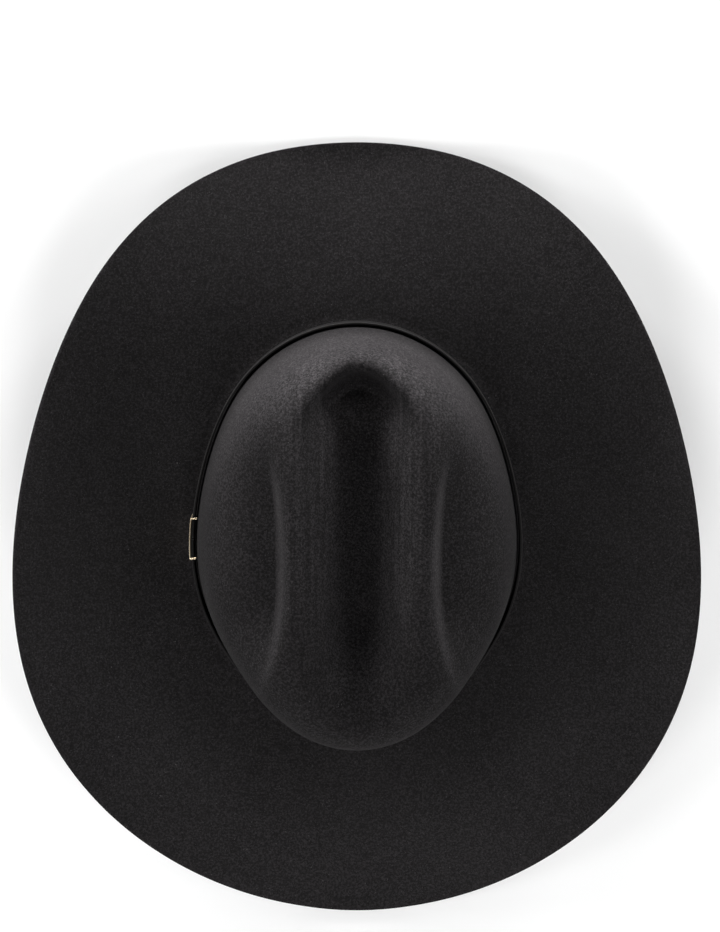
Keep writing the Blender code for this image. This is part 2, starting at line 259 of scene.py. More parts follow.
def lining_point(phi, lean, inset=0.0):
    """A point of the lining's outer face; it stands further from the felt above the sweatband."""
    ease = LINING_EASE * smooth(crown_point(phi, lean).z, SWEATBAND_TOP, SWEATBAND_TOP + 0.010)
    return inside_point(phi, lean, LINING_IN + ease + inset)


# ---- camera, light and floor ----
CAMERA_TILT = math.radians(7.0)      # the camera leans to the hat's back
CAMERA_DISTANCE = 1.628              # from the plane of the break
CAMERA_AIM = Vector((0.0017, 0.0388, BREAK_Z))
VIEW_HEIGHT = 0.4996                 # what the frame spans at that distance
SENSOR = 24.0                        # millimetres, upright
WORLD_LIGHT = 0.04
LIGHT_DISTANCE = 2.4
LIGHT_SIZE = 0.9
LIGHTS = (                           # name, azimuth, elevation, power
    ("back", 90, 8, 52.0),
    ("back_left", 60, 8, 62.0),
    ("back_right", 120, 8, 72.0),
    ("side_left", 30, 12, 7.0),
    ("side_right", 150, 12, 18.0),
    ("edge_left", 0, 35, 5.0),
    ("edge_right", 180, 35, 11.0),
    ("front_left", 315, 30, 20.0),
    ("front_right", 225, 30, 16.0),
    ("front", 270, 30, 32.0),
)


def make_camera():
    """Looks down on the hat, a little from behind."""
    data = bpy.data.cameras.new("camera")
    data.sensor_fit = "VERTICAL"
    data.sensor_height = SENSOR
    data.lens = SENSOR * CAMERA_DISTANCE / VIEW_HEIGHT
    camera = bpy.data.objects.new("camera", data)
    bpy.context.scene.collection.objects.link(camera)
    back = Vector((0.0, math.sin(CAMERA_TILT), math.cos(CAMERA_TILT)))
    camera.location = CAMERA_AIM + back * CAMERA_DISTANCE
    camera.rotation_euler = (-CAMERA_TILT, 0.0, 0.0)
    bpy.context.scene.camera = camera


def add_light(name, azimuth, elevation, power):
    """A soft round light, that looks at the hat; azimuth 90 is behind it and 270 in front."""
    data = bpy.data.lights.new(name, "AREA")
    data.shape = "DISK"
    data.size = LIGHT_SIZE
    data.energy = power
    light = bpy.data.objects.new(name, data)
    bpy.context.scene.collection.objects.link(light)
    turn, rise = math.radians(azimuth), math.radians(elevation)
    away = Vector((math.cos(rise) * math.cos(turn), math.cos(rise) * math.sin(turn), math.sin(rise)))
    light.location = away * LIGHT_DISTANCE
    light.rotation_euler = away.to_track_quat("Z", "Y").to_euler()


def make_studio():
    """A white floor, and a ring of low soft lights that is strongest behind the hat."""
    scene = bpy.context.scene
    scene.view_settings.view_transform = "Standard"
    world = bpy.data.worlds.new("studio")
    world.use_nodes = True
    world.node_tree.nodes["Background"].inputs["Color"].default_value = (1.0, 1.0, 1.0, 1.0)
    world.node_tree.nodes["Background"].inputs["Strength"].default_value = WORLD_LIGHT
    scene.world = world
    for name, azimuth, elevation, power in LIGHTS:
        add_light(name, azimuth, elevation, power)
    bpy.ops.mesh.primitive_plane_add(size=12.0)
    floor = bpy.context.object
    floor.name = "floor"
    paint = bpy.data.materials.new("floor_white")
    paint.use_nodes = True
    shader = paint.node_tree.nodes["Principled BSDF"]
    shader.inputs["Base Color"].default_value = (0.95, 0.95, 0.95, 1.0)
    shader.inputs["Roughness"].default_value = 0.9
    floor.data.materials.append(paint)


# ---- node helpers ----

class Paint:
    """A material's node tree, with short ways to add the nodes that every finish here uses."""

    def __init__(self, name, colour, roughness, **settings):
        self.material = bpy.data.materials.new(name)
        self.material.use_nodes = True
        self.tree = self.material.node_tree
        self.shader = self.tree.nodes["Principled BSDF"]
        self.shader.inputs["Base Color"].default_value = (*colour, 1.0)
        self.shader.inputs["Roughness"].default_value = roughness
        for label, value in settings.items():
            self.shader.inputs[label.replace("_", " ")].default_value = value
        self.place = self.tree.nodes.new("ShaderNodeTexCoord").outputs["Object"]

    def link(self, source, target):
        self.tree.links.new(source, target)

    def node(self, kind, **settings):
        node = self.tree.nodes.new(kind)
        for label, value in settings.items():
            setattr(node, label, value)
        return node

    def noise(self, scale, detail=2.0, roughness=0.5, distortion=0.0, place=None):
        """Noise between 0 and 1; scale is in waves per metre."""
        node = self.node("ShaderNodeTexNoise")
        self.link(place or self.place, node.inputs["Vector"])
        node.inputs["Scale"].default_value = scale
        node.inputs["Detail"].default_value = detail
        node.inputs["Roughness"].default_value = roughness
        node.inputs["Distortion"].default_value = distortion
        return node.outputs["Fac"]

    def cells(self, scale):
        """Distance to the nearest edge of a cell; scale is in cells per metre."""
        node = self.node("ShaderNodeTexVoronoi", feature="DISTANCE_TO_EDGE")
        self.link(self.place, node.inputs["Vector"])
        node.inputs["Scale"].default_value = scale
        return node.outputs["Distance"]

    def split(self):
        """The place's x, y and z."""
        node = self.node("ShaderNodeSeparateXYZ")
        self.link(self.place, node.inputs[0])
        return node.outputs

    def spread(self, split):
        """How far out from the middle of the crown, squared: 1 at the head opening."""
        aside = self.over(split[0], OVAL_A)
        ahead = self.over(self.minus(split[1], OVAL_Y), OVAL_B)
        return self.plus(self.times(aside, aside), self.times(ahead, ahead))

    def unrolled(self):
        """A place that unrolls the hat: how far round it, how high, and nothing, in metres."""
        split = self.split()
        turn = self.math("ARCTAN2", self.minus(split[1], OVAL_Y), split[0])
        join = self.node("ShaderNodeCombineXYZ")
        self.link(self.times(turn, OVAL_A), join.inputs[0])
        self.link(split[2], join.inputs[1])
        return join.outputs[0]

    def stretched(self, scale, place=None):
        """A place scaled along its three axes."""
        node = self.node("ShaderNodeMapping")
        self.link(place or self.place, node.inputs["Vector"])
        node.inputs["Scale"].default_value = scale
        return node.outputs["Vector"]

    def weave(self, place, across, along):
        """Threads that cross, between 0 and 1, with their spacings in metres."""
        node = self.node("ShaderNodeSeparateXYZ")
        self.link(place, node.inputs[0])
        waves = []
        for socket, pitch in ((node.outputs[0], across), (node.outputs[1], along)):
            turn = self.times(socket, 2.0 * math.pi / pitch)
            waves.append(self.plus(self.times(self.math("SINE", turn), 0.5), 0.5))
        return self.times(self.plus(self.times(waves[0], 0.5), 0.5), waves[1])

    def ramp(self, value, low, high, start=0.0, end=1.0, kind="LINEAR"):
        """The value's range from low to high, stretched to start and end."""
        node = self.node("ShaderNodeMapRange", interpolation_type=kind)
        self.link(value, node.inputs["Value"])
        node.inputs["From Min"].default_value = low
        node.inputs["From Max"].default_value = high
        node.inputs["To Min"].default_value = start
        node.inputs["To Max"].default_value = end
        return node.outputs["Result"]

    def fade(self, value, low, high, start=0.0, end=1.0):
        """A ramp with soft ends."""
        return self.ramp(value, low, high, start, end, kind="SMOOTHSTEP")

    def times(self, first, *others):
        """The product of two or more values."""
        for other in others:
            first = self.math("MULTIPLY", first, other)
        return first

    def plus(self, first, *others):
        """The sum of two or more values."""
        for other in others:
            first = self.math("ADD", first, other)
        return first

    def minus(self, first, second):
        return self.math("SUBTRACT", first, second)

    def over(self, first, second):
        return self.math("DIVIDE", first, second)

    def size(self, value):
        """The value without its sign."""
        return self.math("ABSOLUTE", value)

    def math(self, operation, first, second=0.0):
        node = self.node("ShaderNodeMath", operation=operation)
        for socket, value in zip(node.inputs, (first, second)):
            if isinstance(value, float):
                socket.default_value = value
            else:
                self.link(value, socket)
        return node.outputs["Value"]

    def mix(self, amount, first, second):
        """A colour between two colours; each is a socket or three numbers."""
        node = self.node("ShaderNodeMix", data_type="RGBA")
        self.link(amount, node.inputs[0])
        for socket, value in ((node.inputs[6], first), (node.inputs[7], second)):
            if isinstance(value, tuple):
                socket.default_value = (*value, 1.0)
            else:
                self.link(value, socket)
        return node.outputs[2]

    def scale(self, colour, factor):
        """A colour made lighter or darker."""
        node = self.node("ShaderNodeVectorMath", operation="SCALE")
        self.link(colour, node.inputs[0])
        self.link(factor, node.inputs["Scale"])
        return node.outputs["Vector"]

    def colour(self, socket):
        self.link(socket, self.shader.inputs["Base Color"])

    def roughness(self, socket):
        self.link(socket, self.shader.inputs["Roughness"])

    def bump(self, height, distance, strength=1.0):
        """Add a bump on top of the ones before it; distance is in metres."""
        node = self.node("ShaderNodeBump")
        node.inputs["Strength"].default_value = strength
        node.inputs["Distance"].default_value = distance
        self.link(height, node.inputs["Height"])
        before = self.shader.inputs["Normal"].links
        if before:
            self.link(before[0].from_socket, node.inputs["Normal"])
        self.link(node.outputs["Normal"], self.shader.inputs["Normal"])


# ---- finishes ----

def crown_painted_light(paint, split, spread, off_middle):
    """Painted light and shade on the crown's felt, as a gain on its colour: brushed streaks and lit upper
    back ridges, highlights on the back shoulder and the dents' inner edges, light along the crease's floor
    and shade in its back pocket.
    """
    brushed = paint.noise(420.0, detail=3.0, roughness=0.6, place=paint.stretched((1.0, 0.035, 0.1)))
    # Brushed nap streaks, a real texture, lightened only on the upper back ridges as painted light where the
    # back lights fall.
    on_ridge = paint.times(
        paint.ramp(off_middle, 0.010, 0.018), paint.ramp(off_middle, 0.043, 0.034),
        paint.ramp(split[1], -0.05, 0.0), paint.ramp(split[2], 0.090, 0.112),
    )
    streak = paint.times(paint.ramp(brushed, 0.42, 0.66, 0.03, 0.58), on_ridge)
    # Painted highlight on the crown's back shoulder, standing in for the light and sheen from behind.
    shoulder = paint.times(paint.fade(split[1], 0.01, 0.08, 0.0, 0.68), paint.fade(spread, 0.50, 0.88))
    arc = paint.times(off_middle, off_middle, CREASE_ARC)
    into = paint.minus(CREASE_BACK - 0.001, paint.plus(split[1], arc))
    # Painted shade in the middle crease's pocket, just in front of its back lip.
    pocket = paint.times(
        paint.fade(into, 0.0, 0.004, 0.0, 0.70), paint.fade(into, 0.018, 0.004),
        paint.fade(off_middle, 0.030, 0.016),
    )
    # Painted light along the middle crease's floor, strongest just in front of the pocket, lifting the shade
    # there.
    channel = paint.times(
        paint.fade(off_middle, 0.022, 0.010, 0.0, 0.42), paint.fade(into, 0.012, 0.020),
        paint.fade(into, 0.046, 0.022, 1.0, 4.0), paint.fade(split[1], -0.080, -0.055),
    )
    # Painted highlight along the side dents' steep inner edges, standing in for sheen there; it fades
    # towards the front and back.
    ahead = paint.over(paint.minus(split[1], DENT_MIDDLE), DENT_BOW)
    bow = paint.ramp(split[1], DENT_MIDDLE - 0.001, DENT_MIDDLE + 0.001, DENT_BOW_FRONT, DENT_BOW_BACK)
    edge = paint.plus(paint.times(bow, ahead, ahead), DENT_X - 0.0045)
    dent_edge_highlight = paint.times(
        paint.ramp(paint.size(paint.minus(off_middle, edge)), 0.0030, 0.0004, 0.0, 0.42),
        paint.fade(split[1], -0.075, -0.045), paint.fade(split[1], 0.060, 0.030),
    )
    return paint.minus(paint.plus(streak, shoulder, channel, dent_edge_highlight), pocket)


def felt_paint():
    """Black fur felt: mottled, with a fine nap, pale fibre tips and a soft sheen, and painted light and
    shade on the crown and the front of the brim.
    """
    paint = Paint(
        "black_felt", (0.009, 0.0085, 0.009), 0.95,
        Sheen_Weight=0.014, Sheen_Roughness=0.32, Specular_IOR_Level=0.02,
    )
    split = paint.split()
    spread = paint.spread(split)
    off_middle = paint.size(paint.minus(split[0], CREASE_X))
    on_crown = paint.ramp(split[2], 0.045, 0.075)
    strength = paint.ramp(on_crown, 0.0, 1.0, 0.65, 0.90)
    mottle = paint.noise(14.0, detail=3.0)
    patches = paint.noise(160.0, detail=3.0, roughness=0.6)
    grain = paint.noise(850.0, detail=2.0, roughness=0.6)
    nap = paint.noise(1500.0, detail=3.0, roughness=0.7, distortion=1.5)
    fibres = paint.noise(700.0, detail=2.0, roughness=0.6, distortion=4.0)
    tone = paint.mix(paint.ramp(mottle, 0.35, 0.65), (0.0084, 0.0078, 0.0081), (0.0102, 0.0095, 0.0098))
    tone = paint.mix(paint.ramp(patches, 0.40, 0.70, 0.0, 0.4), tone, (0.0135, 0.0126, 0.0131))
    pale = paint.times(paint.ramp(grain, 0.48, 0.64, 0.0, 0.78), strength)
    dark = paint.times(paint.ramp(grain, 0.47, 0.33, 0.0, 0.58), strength)
    tone = paint.mix(pale, tone, (0.026, 0.0243, 0.0253))
    tone = paint.mix(dark, tone, (0.0045, 0.0042, 0.0043))
    tone = paint.mix(paint.ramp(nap, 0.54, 0.74, 0.0, 0.7), tone, (0.028, 0.0262, 0.0272))
    tone = paint.mix(paint.ramp(fibres, 0.66, 0.72, 0.0, 0.8), tone, (0.090, 0.084, 0.087))
    # Painted light and shade on the crown, as a gain on the felt's colour.
    gain = paint.times(crown_painted_light(paint, split, spread, off_middle), on_crown)
    # Painted light on the front of the brim, growing away from the crown.
    front_brim_light = paint.times(
        paint.fade(split[1], -0.01, -0.09, 0.0, 0.33), paint.fade(spread, 1.5, 3.1),
        paint.minus(1.0, on_crown),
    )
    paint.colour(paint.scale(tone, paint.plus(gain, front_brim_light, 1.0)))
    paint.bump(patches, 0.00025, 0.5)
    paint.bump(grain, 0.00006, 0.2)
    paint.bump(nap, 0.00010, 0.3)
    paint.bump(fibres, 0.00010, 0.3)
    return paint.material


def leather_paint(name, dark, light, roughness, grain, gloss=0.35):
    """Leather: cloudy colour, pebbled grain and fine pores."""
    paint = Paint(name, dark, roughness, Specular_IOR_Level=gloss)
    cloud = paint.noise(45.0, detail=4.0, roughness=0.6)
    pores = paint.cells(grain)
    fine = paint.noise(grain * 2.5, detail=3.0, roughness=0.6)
    tone = paint.mix(paint.ramp(cloud, 0.30, 0.70), dark, light)
    tone = paint.mix(paint.ramp(pores, 0.0, 0.12, 0.45, 0.0), tone, tuple(part * 0.5 for part in dark))
    paint.colour(tone)
    paint.roughness(paint.ramp(fine, 0.3, 0.7, roughness - 0.08, roughness + 0.10))
    paint.bump(pores, 0.00012, 0.7)
    paint.bump(fine, 0.00005, 0.6)
    return paint


def band_paint():
    """Black strap leather, with a painted highlight along its upper outer edge, stronger towards the back,
    but not inside the clip.
    """
    dark, light = (0.007, 0.0066, 0.0066), (0.011, 0.0104, 0.0104)
    paint = leather_paint("band_leather", dark, light, 0.6, 1400.0, gloss=0.08)
    split = paint.split()
    edge = BAND_OUT - 0.00035
    ahead = paint.over(paint.minus(split[1], OVAL_Y), OVAL_B + edge)
    ahead_2 = paint.times(ahead, ahead)
    inwards = paint.minus(1.0, ahead_2)
    fuller = paint.times(ahead, inwards, paint.minus(inwards, ahead_2), OVAL_FRONT)
    egg = paint.minus(paint.plus(paint.times(ahead, OVAL_EGG), 1.0), fuller)
    aside = paint.over(paint.over(split[0], OVAL_A + edge), egg)
    out = paint.plus(ahead_2, paint.times(aside, aside))
    away = paint.size(paint.minus(split[1], CLIP_Y))
    covered = paint.times(
        paint.math("LESS_THAN", split[0], 0.0), paint.math("LESS_THAN", away, CLIP_LENGTH / 2),
    )
    # Painted highlight along the strap's upper outer edge, varied by noise and stronger towards the back.
    band_edge_highlight = paint.times(
        paint.ramp(out, 1.0, 1.004), paint.ramp(split[2], BAND_TOP - 0.0006, BAND_TOP - 0.0002),
        paint.minus(1.0, covered),
        paint.ramp(paint.noise(600.0, detail=3.0), 0.3, 0.7, 0.4, 1.0),
        paint.ramp(split[1], -0.06, 0.05, 0.35, 1.0),
    )
    before = paint.shader.inputs["Base Color"].links[0].from_socket
    paint.colour(paint.mix(band_edge_highlight, before, (0.030, 0.0285, 0.0285)))
    return paint.material


def metal_paint():
    """Polished pale gold, with faint rubbing marks and a little tarnish."""
    paint = Paint("gold_metal", (0.88, 0.74, 0.55), 0.25, Metallic=1.0)
    cloud = paint.noise(220.0, detail=3.0)
    rubs = paint.noise(900.0, detail=2.0, place=paint.stretched((1.0, 0.08, 6.0)))
    tone = paint.mix(paint.ramp(cloud, 0.35, 0.70), (0.90, 0.77, 0.58), (0.74, 0.58, 0.38))
    paint.colour(tone)
    paint.roughness(paint.ramp(rubs, 0.3, 0.7, 0.28, 0.42))
    paint.bump(rubs, 0.00002, 0.5)
    return paint.material


def satin_paint():
    """Silver-grey satin: a fine warp, soft streaks and a directional gloss."""
    paint = Paint(
        "lining_satin", (0.30, 0.29, 0.28), 0.34,
        Specular_IOR_Level=0.55, Sheen_Weight=0.25, Sheen_Roughness=0.3, Anisotropic=0.5,
    )
    unrolled = paint.unrolled()
    streak = paint.noise(900.0, detail=2.0, place=paint.stretched((1.0, 0.03, 1.0), unrolled))
    cloud = paint.noise(35.0, detail=3.0)
    tone = paint.mix(paint.ramp(cloud, 0.3, 0.7), (0.25, 0.245, 0.24), (0.34, 0.33, 0.32))
    tone = paint.mix(paint.ramp(streak, 0.35, 0.75, 0.0, 0.45), tone, (0.44, 0.43, 0.42))
    paint.colour(tone)
    paint.roughness(paint.ramp(streak, 0.3, 0.7, 0.28, 0.42))
    paint.bump(paint.weave(unrolled, 0.00035, 0.00028), 0.00002, 0.5)
    return paint.material


def ribbon_paint(name, dark, light, pitch):
    """Ribbed ribbon or woven tape, with its ribs running round the hat."""
    paint = Paint(name, dark, 0.6, Sheen_Weight=0.15, Sheen_Roughness=0.4, Specular_IOR_Level=0.25)
    unrolled = paint.unrolled()
    ribs = paint.weave(unrolled, pitch * 0.8, pitch)
    cloud = paint.noise(120.0, detail=3.0)
    tone = paint.mix(paint.ramp(cloud, 0.3, 0.7), dark, light)
    tone = paint.mix(paint.ramp(ribs, 0.1, 0.9, 0.6, 0.0), tone, tuple(part * 0.4 for part in dark))
    paint.colour(tone)
    paint.roughness(paint.ramp(cloud, 0.3, 0.7, 0.52, 0.7))
    paint.bump(ribs, 0.00006, 0.7)
    return paint.material


def thread_paint(name, dark, light):
    """Twisted thread: a soft sheen over fine fibres."""
    paint = Paint(name, dark, 0.6, Sheen_Weight=0.2, Specular_IOR_Level=0.3)
    fibre = paint.noise(2600.0, detail=2.0, distortion=1.0)
    paint.colour(paint.mix(paint.ramp(fibre, 0.3, 0.7), dark, light))
    paint.roughness(paint.ramp(fibre, 0.3, 0.7, 0.5, 0.75))
    paint.bump(fibre, 0.00004, 0.6)
    return paint.material


def plastic_paint():
    """Milky translucent reed."""
    paint = Paint("reed_plastic", (0.42, 0.42, 0.39), 0.35, Specular_IOR_Level=0.45)
    cloud = paint.noise(90.0, detail=3.0)
    scuffs = paint.noise(1200.0, detail=2.0)
    paint.colour(paint.mix(paint.ramp(cloud, 0.3, 0.7), (0.36, 0.36, 0.33), (0.46, 0.46, 0.43)))
    paint.roughness(paint.ramp(scuffs, 0.3, 0.7, 0.28, 0.45))
    paint.bump(scuffs, 0.00002, 0.4)
    return paint.material


def tag_paint():
    """Blank off-white tag of coated cloth."""
    paint = Paint("tag_paper", (0.76, 0.73, 0.66), 0.6, Specular_IOR_Level=0.3)
    unrolled = paint.unrolled()
    threads = paint.weave(unrolled, 0.0004, 0.0004)
    cloud = paint.noise(150.0, detail=4.0, roughness=0.6)
    tone = paint.mix(paint.ramp(cloud, 0.3, 0.7), (0.70, 0.67, 0.60), (0.80, 0.78, 0.72))
    tone = paint.mix(paint.ramp(threads, 0.0, 0.6, 0.35, 0.0), tone, (0.52, 0.50, 0.44))
    paint.colour(tone)
    paint.roughness(paint.ramp(cloud, 0.3, 0.7, 0.5, 0.7))
    paint.bump(threads, 0.00003, 0.5)
    return paint.material


# ---- mesh helpers ----

def add_mesh(name, shape):
    """Turn a bmesh into a smooth-shaded object."""
    mesh = bpy.data.meshes.new(name)
    shape.to_mesh(mesh)
    shape.free()
    mesh.shade_smooth()
    piece = bpy.data.objects.new(name, mesh)
    bpy.context.scene.collection.objects.link(piece)
    return piece


def loft(name, rows, ring=True, apex=None, keep=None):
    """An open surface through rows of points; a ring joins the rows' ends, an apex closes them.

    keep says of each face, by its row and its place in the row, whether it is there.
    """
    shape = bmesh.new()
    lines = [[shape.verts.new(point) for point in row] for row in rows]
    count = len(lines[0])
    last = count if ring else count - 1
    for row, (below, above) in enumerate(zip(lines, lines[1:])):
        for i in range(last):
            j = (i + 1) % count
            if keep is None or keep(row, i):
                shape.faces.new((below[i], below[j], above[j], above[i]))
    if apex is not None:
        top = shape.verts.new(apex)
        for i in range(count):
            shape.faces.new((lines[-1][i], lines[-1][(i + 1) % count], top))
    loose = [vert for vert in shape.verts if not vert.link_faces]
    bmesh.ops.delete(shape, geom=loose, context="VERTS")
    return add_mesh(name, shape)


def sweep(name, loops, ring=False):
    """A closed skin through closed loops of points; a run that isn't a ring gets flat ends."""
    shape = bmesh.new()
    rings = [[shape.verts.new(point) for point in loop] for loop in loops]
    count = len(rings[0])
    following = rings[1:] + rings[:1] if ring else rings[1:]
    for near, far in zip(rings, following):
        for i in range(count):
            j = (i + 1) % count
            shape.faces.new((near[i], near[j], far[j], far[i]))
    if not ring:
        shape.faces.new(rings[0])
        shape.faces.new(rings[-1])
    bmesh.ops.recalc_face_normals(shape, faces=shape.faces)
    return add_mesh(name, shape)


def thicken(piece, thickness, outward, round_edge=0.0):
    """Give an open surface its thickness, and round the edges of its rim."""
    solid = piece.modifiers.new("thickness", "SOLIDIFY")
    solid.thickness = thickness
    solid.offset = 1.0 if outward else -1.0
    if round_edge:
        bevel = piece.modifiers.new("round_edge", "BEVEL")
        bevel.width = round_edge
        bevel.segments = 3
        bevel.limit_method = "ANGLE"
        bevel.angle_limit = math.radians(50.0)


def rounded(inner, outer, low, high, radius, step=0.003):
    """A box with round corners as pairs of outset and height, with points along its tall sides."""
    corners = (
        (outer - radius, high - radius, 0.0), (inner + radius, high - radius, 90.0),
        (inner + radius, low + radius, 180.0), (outer - radius, low + radius, 270.0),
    )
    section = []
    for out, z, start in corners:
        for i in range(5):
            turn = math.radians(start + 22.5 * i)
            section.append((out + radius * math.cos(turn), z + radius * math.sin(turn)))
        side = {90.0: -1.0, 270.0: 1.0}.get(start)
        if side:
            edge_out, edge_z = section[-1]
            count = int((high - low) / step)
            span = (high - low - 2.0 * radius) / (count + 1)
            section += [(edge_out, edge_z + side * span * (i + 1)) for i in range(count)]
    return section


def tube(name, runs, radius, sides=3):
    """Closed loops of cord, each through a ring of points."""
    curve = bpy.data.curves.new(name, "CURVE")
    curve.dimensions = "3D"
    curve.bevel_depth = radius
    curve.bevel_resolution = sides
    for run in runs:
        line = curve.splines.new("POLY")
        line.points.add(len(run) - 1)
        for place, point in zip(line.points, run):
            place.co = (*point, 1.0)
        line.use_cyclic_u = True
        line.use_smooth = True
    piece = bpy.data.objects.new(name, curve)
    bpy.context.scene.collection.objects.link(piece)
    return piece


STITCH_PROFILE = ((0.0, 0.35), (0.12, 0.85), (0.35, 1.0), (0.65, 1.0), (0.88, 0.85), (1.0, 0.35))
STITCH_SIDES = 7


def stitches(name, ends, radius):
    """Short rounded stitches of thread, each between two points."""
    shape = bmesh.new()
    for start, end in ends:
        along = end - start
        side = along.orthogonal().normalized()
        across = along.cross(side).normalized()
        rings = []
        for part, swell in STITCH_PROFILE:
            centre = start + along * part
            turns = angles(count=STITCH_SIDES)
            spokes = [side * math.cos(turn) + across * math.sin(turn) for turn in turns]
            rings.append([shape.verts.new(centre + spoke * radius * swell) for spoke in spokes])
        for near, far in zip(rings, rings[1:]):
            for i in range(STITCH_SIDES):
                j = (i + 1) % STITCH_SIDES
                shape.faces.new((near[i], near[j], far[j], far[i]))
        shape.faces.new(rings[0])
        shape.faces.new(rings[-1])
    bmesh.ops.recalc_face_normals(shape, faces=shape.faces)
    return add_mesh(name, shape)


def finish_piece(piece, paint, nodes=(), body=HAT):
    """Paint a piece, ride it on its body and hide the CAD nodes that it stands for."""
    piece.data.materials.append(paint)
    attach(piece, body)
    if nodes:
        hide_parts(*nodes)


def angles(start=0.0, end=2.0 * math.pi, count=384, closed=True):
    """Evenly spaced angles; a closed run leaves out the last, which meets the first."""
    steps = count if closed else count - 1
    return [start + (end - start) * i / steps for i in range(count)]


# ---- the felt ----

def make_felt():
    """Crown and brim in one felt body, with a rounded raw edge."""
    turns = angles()
    rows = []
    for i in range(BRIM_RINGS):
        step = 1.0 - i / BRIM_RINGS
        rows.append([brim_point(phi, step) for phi in turns])
    for turn in BREAK_TURNS:
        rows.append([break_point(phi, math.radians(turn)) for phi in turns])
    for i in range(CROWN_RINGS):
        rows.append([crown_point(phi, math.pi / 2 * i / CROWN_RINGS) for phi in turns])
    felt = loft("felt", rows, apex=crown_point(0.0, math.pi / 2))
    thicken(felt, FELT, outward=True, round_edge=0.0007)
    finish_piece(felt, felt_paint(), ["felt_body"])


# ---- band and clip ----

def make_band():
    """The leather strap, with rounded edges and a pressed line along each."""
    section = rounded(BAND_IN, BAND_OUT, BAND_Z, BAND_TOP, 0.0003, step=0.0004)
    pressed = []
    for out, z in section:
        from_edge = min(z - BAND_Z, BAND_TOP - z)
        groove = 0.00012 * bell((from_edge - 0.0016) / 0.0006) if out > BAND_IN + BAND / 2 else 0.0
        pressed.append((out - groove, z))
    seam = GAP / OVAL_B
    turns = angles(CLIP_ANGLE + seam, CLIP_ANGLE + 2.0 * math.pi - seam, 720, closed=False)
    loops = [[Vector((*oval(phi, out), z)) for out, z in pressed] for phi in turns]
    finish_piece(sweep("hatband_strap", loops), band_paint(), ["hatband"])


def make_clip():
    """The gold plate over the joint of the strap, held by folded tabs at its ends."""
    low, high = BAND_Z - GAP, BAND_TOP + GAP
    front, back = BAND_OUT + GAP, BAND_IN - 3 * GAP + CLIP - CLIP_CAD
    foot = BAND_IN + GAP
    profile = ((foot, low), (front, low), (front, high), (back, high), (back, high - CLIP_LIP))
    half, tab = CLIP_LENGTH / 2 / OVAL_B, CLIP_TAB / OVAL_B
    first, last = CLIP_ANGLE - half, CLIP_ANGLE + half
    turns = [first, *angles(first + tab, last - tab, CLIP_STATIONS, closed=False), last]
    rows = [[Vector((*oval(phi, out), z)) for phi in turns] for out, z in profile]
    plate, ends = 1, (0, CLIP_STATIONS)
    clip = loft("clip_plate", rows, ring=False, keep=lambda row, i: row == plate or i in ends)
    thicken(clip, CLIP, outward=True, round_edge=0.00035)
    finish_piece(clip, metal_paint(), ["band_clip"], body=CLIP_BODY)


# ---- inside ----

def make_sweatband():
    """The leather sweatband, standing up from the reed, with a slightly wavy upper edge."""
    low, high = SWEATBAND_Z, SWEATBAND_TOP
    section = rounded(-SWEATBAND_FACE, -SWEATBAND_IN, low, high, 0.0004, step=0.0012)
    seam = GAP / OVAL_A
    loops = []
    for phi in angles(math.pi / 2 + seam, 2.5 * math.pi - seam, 480, closed=False):
        wave = 0.00035 * (1.0 + 0.6 * math.sin(5.0 * phi + 1.0) + 0.4 * math.sin(11.0 * phi))
        loop = []
        for out, z in section:
            loop.append(wall_point(phi, z, out - wave * smooth(z, low + 0.012, high)))
        loops.append(loop)
    leather = leather_paint("sweatband_leather", (0.16, 0.075, 0.034), (0.24, 0.12, 0.055), 0.45, 1100.0)
    finish_piece(sweep("sweat_leather", loops), leather.material, ["sweatband"])


def make_reed():
    """The reed along the sweatband's lower edge, and the woven tape that sews it in."""
    middle = -SWEATBAND_IN - SWEATBAND / 2
    z = SWEATBAND_Z - GAP - REED_RADIUS
    reed = tube("reed", [[Vector((*oval(phi, middle), z)) for phi in angles()]], REED_RADIUS)
    finish_piece(reed, plastic_paint(), ["sweatband_reed"])
    low = BREAK_Z + BREAK_RADIUS
    section = rounded(-GAP - TAPE, -GAP, low, low + 0.008, 0.00012)
    loops = [[wall_point(phi, height, out) for out, height in section] for phi in angles()]
    tape = ribbon_paint("ribbon", (0.016, 0.015, 0.015), (0.026, 0.025, 0.025), 0.0008)
    finish_piece(sweep("reed_tape_woven", loops, ring=True), tape, ["reed_tape"])
    return tape


def make_seam_tape(paint):
    """Ribbed tape over the sweatband's back seam."""
    half = 0.0035 / OVAL_A
    low, high = SWEATBAND_Z + 0.002, SWEATBAND_TOP - 0.002
    steps = 159
    rows = []
    for i in range(steps + 1):
        z = low + (high - low) * i / steps
        lift = 0.00005 * math.sin(2.0 * math.pi * z / 0.0008)
        turns = angles(math.pi / 2 - half, math.pi / 2 + half, 9, closed=False)
        rows.append([wall_point(phi, z, -SWEATBAND_FACE - 2.5 * GAP - lift) for phi in turns])
    tape = loft("seam_tape_ribbed", rows, ring=False)
    thicken(tape, TAPE, outward=False, round_edge=0.0001)
    finish_piece(tape, paint, ["sweatband_seam_tape"])


def make_stitching():
    """Thread along the sweatband's lower edge, and down both sides of the tape on its seam."""
    ends = []
    count = 210
    z = SWEATBAND_Z + 0.0022
    face = -SWEATBAND_FACE - 0.00005
    for phi in angles(count=count):
        if abs(phi - math.pi / 2) > 0.06:
            far = phi + 0.68 * 2.0 * math.pi / count
            ends.append((wall_point(phi, z, face), wall_point(far, z, face)))
    tape_face = -SWEATBAND_FACE - 2.5 * GAP - TAPE - 0.00005
    for i in range(13):
        low = SWEATBAND_Z + 0.004 + 0.0022 * i
        for side in (-1.0, 1.0):
            phi = math.pi / 2 + side * 0.0027 / OVAL_A
            ends.append((wall_point(phi, low, tape_face), wall_point(phi, low + 0.0015, tape_face)))
    thread = thread_paint("stitch_thread", (0.10, 0.055, 0.030), (0.20, 0.12, 0.07))
    finish_piece(stitches("sweatband_stitches", ends, 0.00018), thread)


